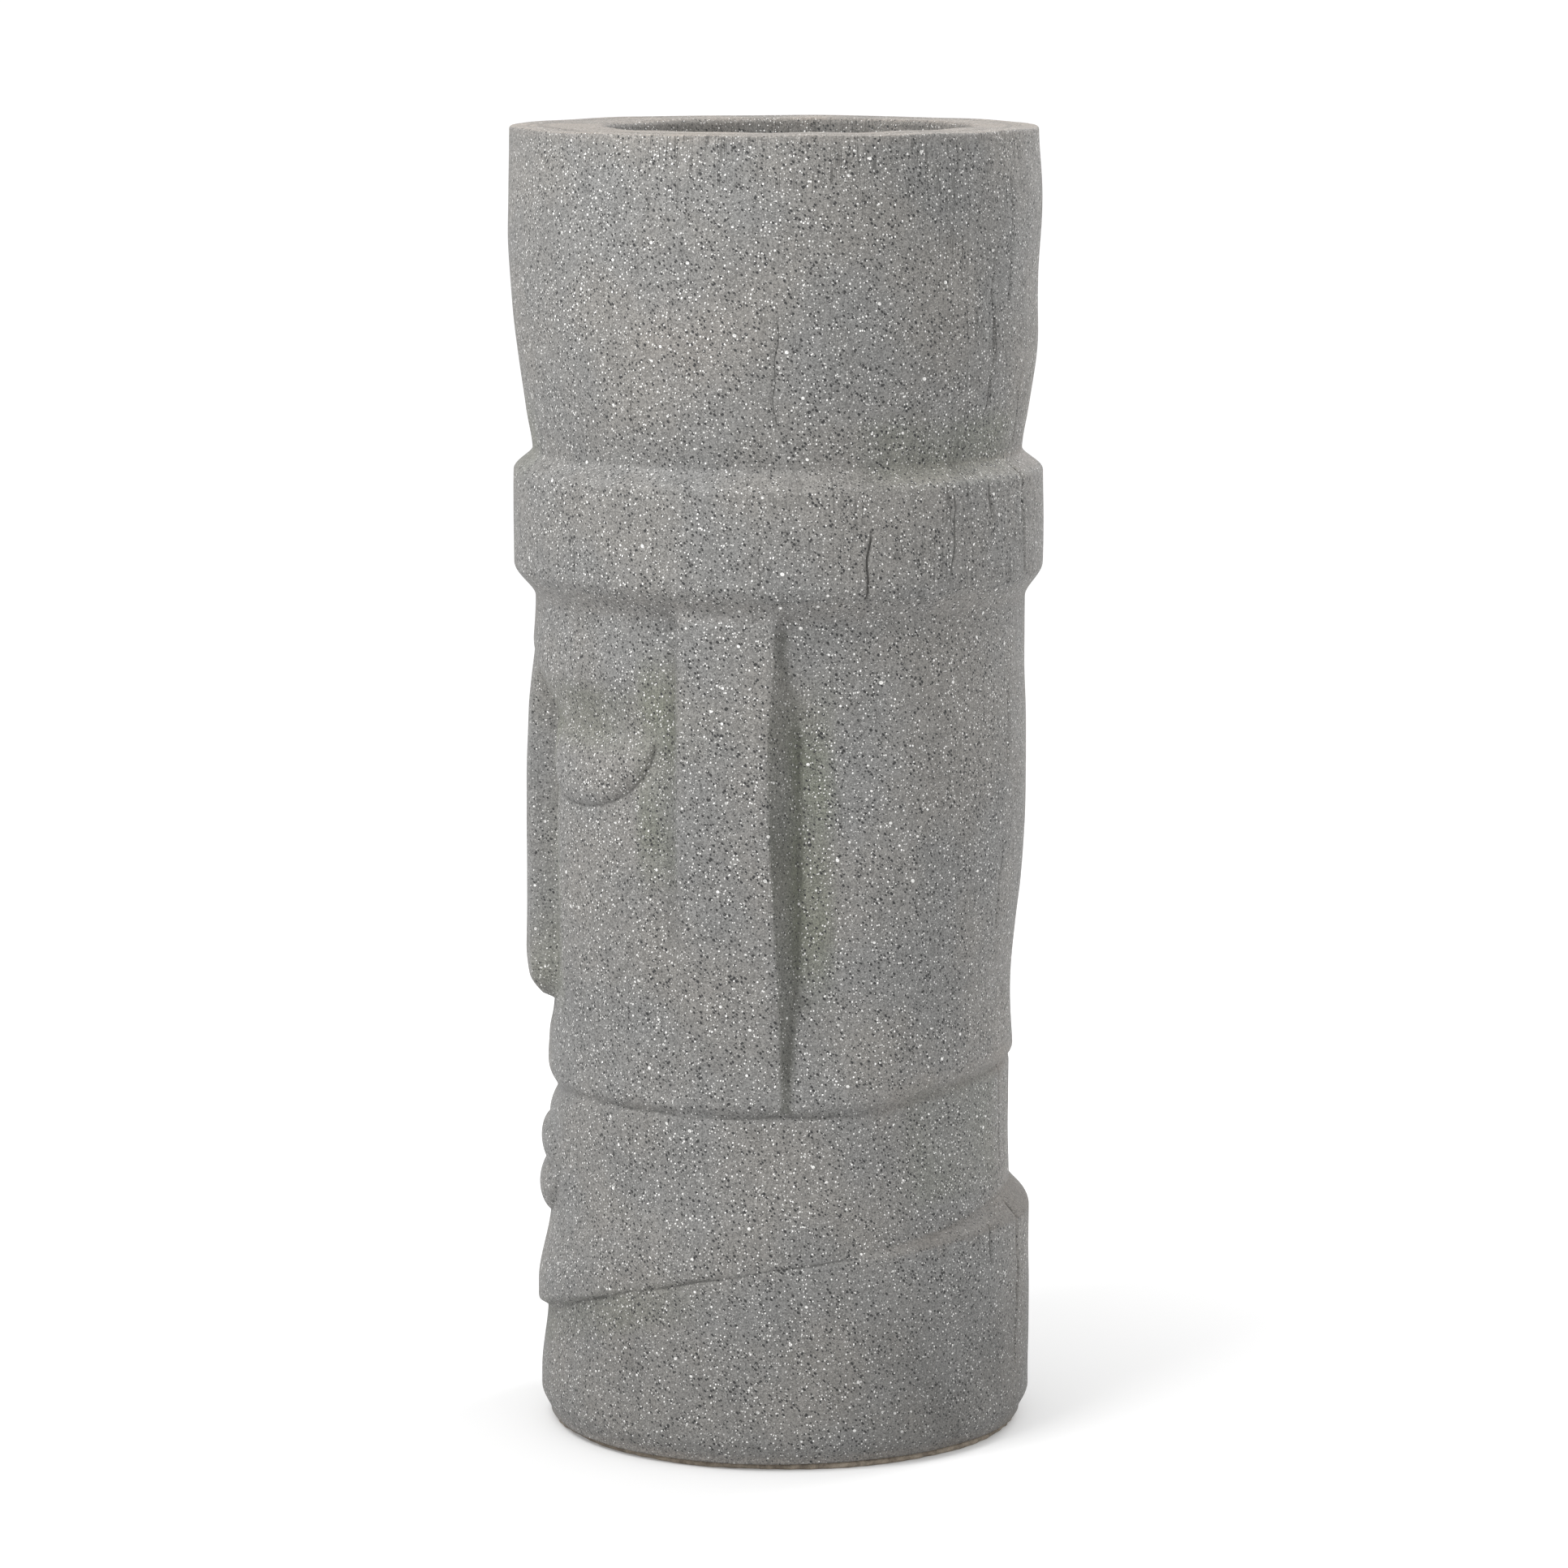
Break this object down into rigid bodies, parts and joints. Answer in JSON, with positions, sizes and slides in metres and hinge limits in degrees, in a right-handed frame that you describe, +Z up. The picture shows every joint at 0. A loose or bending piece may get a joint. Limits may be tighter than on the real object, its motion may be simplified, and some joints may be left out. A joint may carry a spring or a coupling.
{
  "type": "tiki figure planter",
  "caption": "Hollow cast-stone garden planter shaped as a carved tiki head with a headband, with a planting bowl in its crown and a lift-out drain stopper.",
  "frame": {"origin": "centre of the figure's footprint, on the ground", "axes": "+Z up; the carved face looks along -Y; +X is the figure's left"},
  "size_m": [0.3284, 0.331, 0.813],
  "materials": {
    "carved_stone": "matte speckled cast stone",
    "bowl_stone": "matte speckled cast stone",
    "rim_mortar": "matte mortar",
    "base_cement": "matte raw cement",
    "base_mortar": "matte mortar",
    "drain_plastic": "satin",
    "upper_sealant": "matte",
    "lower_sealant": "matte",
    "stopper_rubber": "matte"
  },
  "bodies": {
    "planter": {"outer_shell": "carved_stone", "planting_bowl": "bowl_stone", "rim_mortar_bead": "rim_mortar", "base_plate": "base_cement", "base_mortar_bead": "base_mortar", "drain_tube": "drain_plastic", "upper_tube_collar": "upper_sealant", "lower_tube_collar": "lower_sealant"},
    "stopper": {"drain_stopper": "stopper_rubber"}
  },
  "joints": [
    {"name": "stopper_lift", "type": "slide", "parent": "planter", "child": "stopper", "axis": [0, 0, 1], "range_m": [0, 0.03]}
  ]
}
